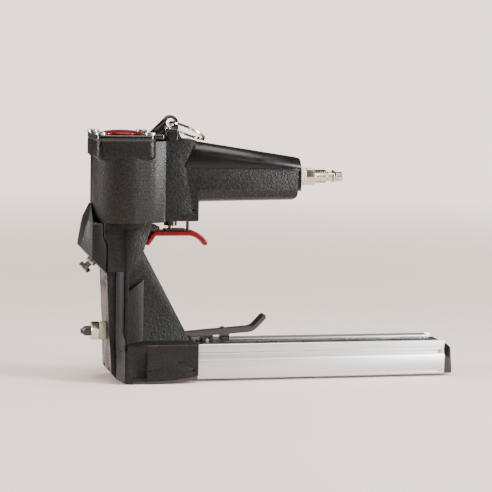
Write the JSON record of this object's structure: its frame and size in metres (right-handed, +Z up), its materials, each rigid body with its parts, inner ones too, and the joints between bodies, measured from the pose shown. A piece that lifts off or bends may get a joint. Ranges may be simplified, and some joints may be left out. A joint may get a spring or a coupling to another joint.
{
  "type": "pneumatic carton stapler",
  "caption": "Air-driven top stapler with a vertical cylinder, side handle with air plug, red trigger, slim nose arm and long aluminium staple magazine.",
  "frame": {"origin": "point on the driver axis at the level of the sole, where the staple leaves the nose", "axes": "+X towards the rear end of the magazine and the air plug, +Z up along the cylinder axis, Y across the tool"},
  "size_m": [0.3319, 0.06, 0.2281],
  "materials": {
    "black_cast": "textured black paint on cast aluminium",
    "black_gloss": "satin black",
    "black_steel": "black oxide",
    "grip_rubber": "smooth moulded",
    "seal_rubber": "nitrile",
    "red_enamel": "gloss red coating",
    "zinc_steel": "zinc plated",
    "spring_steel": "ground",
    "nickel": "nickel plated",
    "aluminium": "extruded, clear anodised",
    "brass": "turned",
    "ptfe": "cream sealing washers",
    "nylon": "natural nylon"
  },
  "bodies": {
    "tool": {"body_casting": "black_cast", "cylinder_cap": "black_gloss", "cap_gasket": "seal_rubber", "cap_screws": "zinc_steel", "exhaust_disc": "red_enamel", "hang_bracket": "black_gloss", "bracket_screws": "zinc_steel", "cylinder_sleeve": "aluminium", "bumper": "seal_rubber", "head_valve_spring": "spring_steel", "handle_grip": "grip_rubber", "handle_end_collar": "black_gloss", "air_bushing": "brass", "plug_seal": "ptfe", "air_plug": "nickel", "trigger_pivot_pin": "black_steel", "valve_body": "black_gloss", "valve_seals": "seal_rubber", "valve_spring": "spring_steel", "block_roll_pin": "black_steel", "nose_casting": "black_cast", "shoe_pins": "black_steel", "arm_screws": "zinc_steel", "guide_plate": "black_steel", "front_plate": "black_cast", "front_plate_screws": "black_steel", "front_guard": "black_cast", "guard_bolt": "zinc_steel", "guard_nut": "zinc_steel", "clincher_pins": "spring_steel", "adjuster_collar": "nylon", "adjuster_nut": "nickel", "adjuster_rod": "black_steel", "sole_plate": "black_steel", "magazine_core": "zinc_steel", "staple_stick": "zinc_steel", "latch_pivot_pin": "black_steel", "latch_spring": "spring_steel"},
    "ring": {"hang_ring": "nickel"},
    "piston_unit": {"piston": "aluminium", "piston_ring": "seal_rubber", "driver_blade": "spring_steel"},
    "head_valve_unit": {"head_valve": "aluminium"},
    "trigger_unit": {"trigger": "red_enamel", "trigger_guide_pin": "black_steel", "trigger_wear_plate": "black_steel"},
    "stem_unit": {"valve_stem": "brass"},
    "left_clincher": {"clincher_left": "spring_steel"},
    "right_clincher": {"clincher_right": "spring_steel"},
    "magazine": {"magazine_extrusion": "aluminium", "magazine_rivets": "zinc_steel", "magazine_cover": "zinc_steel", "magazine_end_cap": "black_gloss"},
    "pusher_unit": {"pusher": "zinc_steel", "pusher_spring_roll": "spring_steel"},
    "latch_unit": {"latch_lever": "black_gloss", "latch_roller": "black_steel", "latch_roller_pin": "zinc_steel"}
  },
  "joints": [
    {"name": "trigger_pull", "type": "hinge", "parent": "tool", "child": "trigger_unit", "pos_m": [0.03, 0, 0.1314], "axis": [0, -1, 0], "range_deg": [0, 7], "stiffness_Nm_per_rad": 1.2, "springref_deg": -8.59},
    {"name": "stem_slide", "type": "slide", "parent": "tool", "child": "stem_unit", "axis": [0, 0, 1], "range_m": [0, 0.0018], "deforming": ["valve_spring"]},
    {"name": "piston_stroke", "type": "slide", "parent": "tool", "child": "piston_unit", "axis": [0, 0, -1], "range_m": [0, 0.023], "stiffness_N_per_m": 150, "springref_m": -0.03},
    {"name": "left_clinch", "type": "hinge", "parent": "tool", "child": "left_clincher", "pos_m": [-0.004, 0.012, 0.0105], "axis": [-1, 0, 0], "range_deg": [0, 50]},
    {"name": "right_clinch", "type": "hinge", "parent": "tool", "child": "right_clincher", "pos_m": [-0.004, -0.012, 0.0105], "axis": [1, 0, 0], "range_deg": [0, 50]},
    {"name": "head_valve_lift", "type": "slide", "parent": "tool", "child": "head_valve_unit", "axis": [0, 0, 1], "range_m": [0, 0.0025], "stiffness_N_per_m": 800, "springref_m": -0.003, "deforming": ["head_valve_spring"]},
    {"name": "magazine_slide", "type": "slide", "parent": "tool", "child": "magazine", "axis": [1, 0, 0], "range_m": [0, 0.12]},
    {"name": "pusher_slide", "type": "slide", "parent": "magazine", "child": "pusher_unit", "axis": [1, 0, 0], "range_m": [0, 0.11], "stiffness_N_per_m": 20, "springref_m": -0.2},
    {"name": "latch_lift", "type": "hinge", "parent": "tool", "child": "latch_unit", "pos_m": [0.0525, 0, 0.0386], "axis": [0, -1, 0], "range_deg": [0, 15], "stiffness_Nm_per_rad": 0.4, "springref_deg": -17.19},
    {"name": "ring_swing", "type": "hinge", "parent": "tool", "child": "ring", "pos_m": [0.0421, 0, 0.2216], "axis": [0, -1, 0], "range_deg": [0, 130]}
  ],
  "couplings": [
    {"joint": "stem_slide", "follows": "trigger_pull", "m_per_rad": 0.0137},
    {"joint": "left_clinch", "follows": "piston_stroke", "rad_per_m": 37.563},
    {"joint": "right_clinch", "follows": "piston_stroke", "rad_per_m": 37.563}
  ]
}
